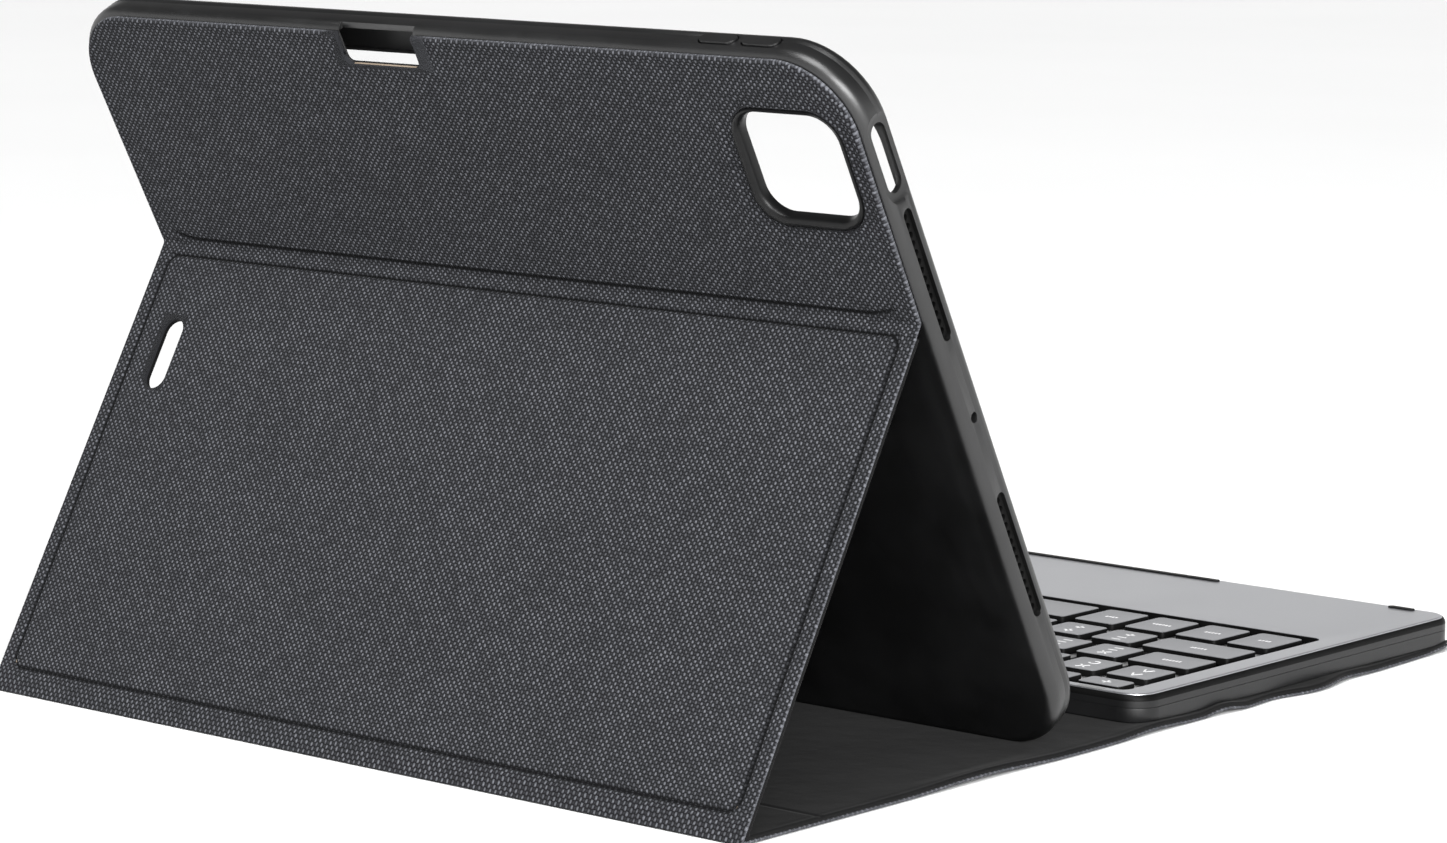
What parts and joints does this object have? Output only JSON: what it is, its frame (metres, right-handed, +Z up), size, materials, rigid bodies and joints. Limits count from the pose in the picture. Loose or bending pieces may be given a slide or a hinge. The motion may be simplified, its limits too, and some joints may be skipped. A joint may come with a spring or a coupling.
{
  "type": "tablet keyboard case",
  "caption": "Folding cloth tablet case standing as a tent, with a soft tablet shell, a strut flap, a cloth base and a detachable low keyboard.",
  "frame": {"origin": "middle of the footprint, on the desk", "axes": "+X is the typist's right, +Y points away from the typist, +Z is up"},
  "size_m": [0.2548, 0.298, 0.1744],
  "materials": {
    "woven_cloth": "woven",
    "microfibre": "brushed",
    "fibreboard": "raw",
    "soft_moulding": "satin",
    "case_plastic": "satin",
    "deck_metal": "satin",
    "key_plastic": "satin",
    "steel": "plain",
    "membrane_film": "black",
    "circuit_green": "varnished",
    "cell_foil": "foil",
    "dome_rubber": "matt",
    "scissor_plastic": "plain",
    "window_plastic": "smoked"
  },
  "bodies": {
    "base": {"base_cloth": "woven_cloth", "base_board": "fibreboard", "base_lining": "microfibre", "base_magnets": "steel"},
    "spine": {"spine_cloth": "woven_cloth", "spine_board": "fibreboard", "spine_lining": "microfibre"},
    "flap": {"flap_cloth": "woven_cloth", "flap_board": "fibreboard", "flap_lining": "microfibre"},
    "tablet_holder": {"panel_cloth": "woven_cloth", "panel_board": "fibreboard", "tablet_shell": "soft_moulding"},
    "volume_up": {"volume_up_button": "soft_moulding"},
    "volume_down": {"volume_down_button": "soft_moulding"},
    "keyboard": {"keyboard_bottom_case": "case_plastic", "keyboard_upper_case": "case_plastic", "keyboard_deck": "deck_metal", "key_plate": "steel", "key_membrane": "membrane_film", "circuit_board": "circuit_green", "battery_cells": "cell_foil", "keyboard_magnets": "steel", "charge_port": "steel", "power_switch_body": "case_plastic", "status_window": "window_plastic", "case_screws": "steel", "keyboard_feet": "soft_moulding", "deck_bumpers": "soft_moulding", "number_row_domes": "dome_rubber", "tab_row_domes": "dome_rubber", "caps_row_domes": "dome_rubber", "shift_row_domes": "dome_rubber", "space_row_domes": "dome_rubber", "number_row_scissors": "scissor_plastic", "tab_row_scissors": "scissor_plastic", "caps_row_scissors": "scissor_plastic", "shift_row_scissors": "scissor_plastic", "space_row_scissors": "scissor_plastic"},
    "switch_slider": {"power_switch_knob": "key_plastic"},
    "number_row": {"number_row_keys": "key_plastic"},
    "tab_row": {"tab_row_keys": "key_plastic"},
    "caps_row": {"caps_row_keys": "key_plastic"},
    "shift_row": {"shift_row_keys": "key_plastic"},
    "space_row": {"space_row_keys": "key_plastic"}
  },
  "joints": [
    {"name": "spine_fold", "type": "hinge", "parent": "base", "child": "spine", "pos_m": [0, 0.12165, 0.0009], "axis": [-1, 0, 0], "range_deg": [0, 90]},
    {"name": "flap_fold", "type": "hinge", "parent": "spine", "child": "flap", "pos_m": [0, 0.14815, 0.0009], "axis": [-1, 0, 0], "range_deg": [0, 118.89]},
    {"name": "back_hinge", "type": "hinge", "parent": "flap", "child": "tablet_holder", "pos_m": [0, 0.08811, 0.10837], "axis": [1, 0, 0], "range_deg": [0, 56.95]},
    {"name": "volume_up_press", "type": "slide", "parent": "tablet_holder", "child": "volume_up", "axis": [0, -0.4648, -0.8854], "range_m": [0, 0.0005], "stiffness_N_per_m": 400, "springref_m": -0.0002},
    {"name": "volume_down_press", "type": "slide", "parent": "tablet_holder", "child": "volume_down", "axis": [0, -0.4648, -0.8854], "range_m": [0, 0.0005], "stiffness_N_per_m": 400, "springref_m": -0.0002},
    {"name": "keyboard_lift", "type": "slide", "parent": "base", "child": "keyboard", "axis": [0, 0, 1], "range_m": [0, 0.04]},
    {"name": "power_switch_slide", "type": "slide", "parent": "keyboard", "child": "switch_slider", "axis": [0, 1, 0], "range_m": [0, 0.0025]},
    {"name": "number_row_press", "type": "slide", "parent": "keyboard", "child": "number_row", "axis": [0, 0, -1], "range_m": [0, 0.0012], "stiffness_N_per_m": 250, "springref_m": -0.0005, "deforming": ["number_row_domes", "number_row_scissors"]},
    {"name": "tab_row_press", "type": "slide", "parent": "keyboard", "child": "tab_row", "axis": [0, 0, -1], "range_m": [0, 0.0012], "stiffness_N_per_m": 250, "springref_m": -0.0005, "deforming": ["tab_row_domes", "tab_row_scissors"]},
    {"name": "caps_row_press", "type": "slide", "parent": "keyboard", "child": "caps_row", "axis": [0, 0, -1], "range_m": [0, 0.0012], "stiffness_N_per_m": 250, "springref_m": -0.0005, "deforming": ["caps_row_domes", "caps_row_scissors"]},
    {"name": "shift_row_press", "type": "slide", "parent": "keyboard", "child": "shift_row", "axis": [0, 0, -1], "range_m": [0, 0.0012], "stiffness_N_per_m": 250, "springref_m": -0.0005, "deforming": ["shift_row_domes", "shift_row_scissors"]},
    {"name": "space_row_press", "type": "slide", "parent": "keyboard", "child": "space_row", "axis": [0, 0, -1], "range_m": [0, 0.0012], "stiffness_N_per_m": 250, "springref_m": -0.0005, "deforming": ["space_row_domes", "space_row_scissors"]}
  ],
  "couplings": [
    {"joint": "back_hinge", "follows": "flap_fold", "ratio": 0.47731}
  ]
}
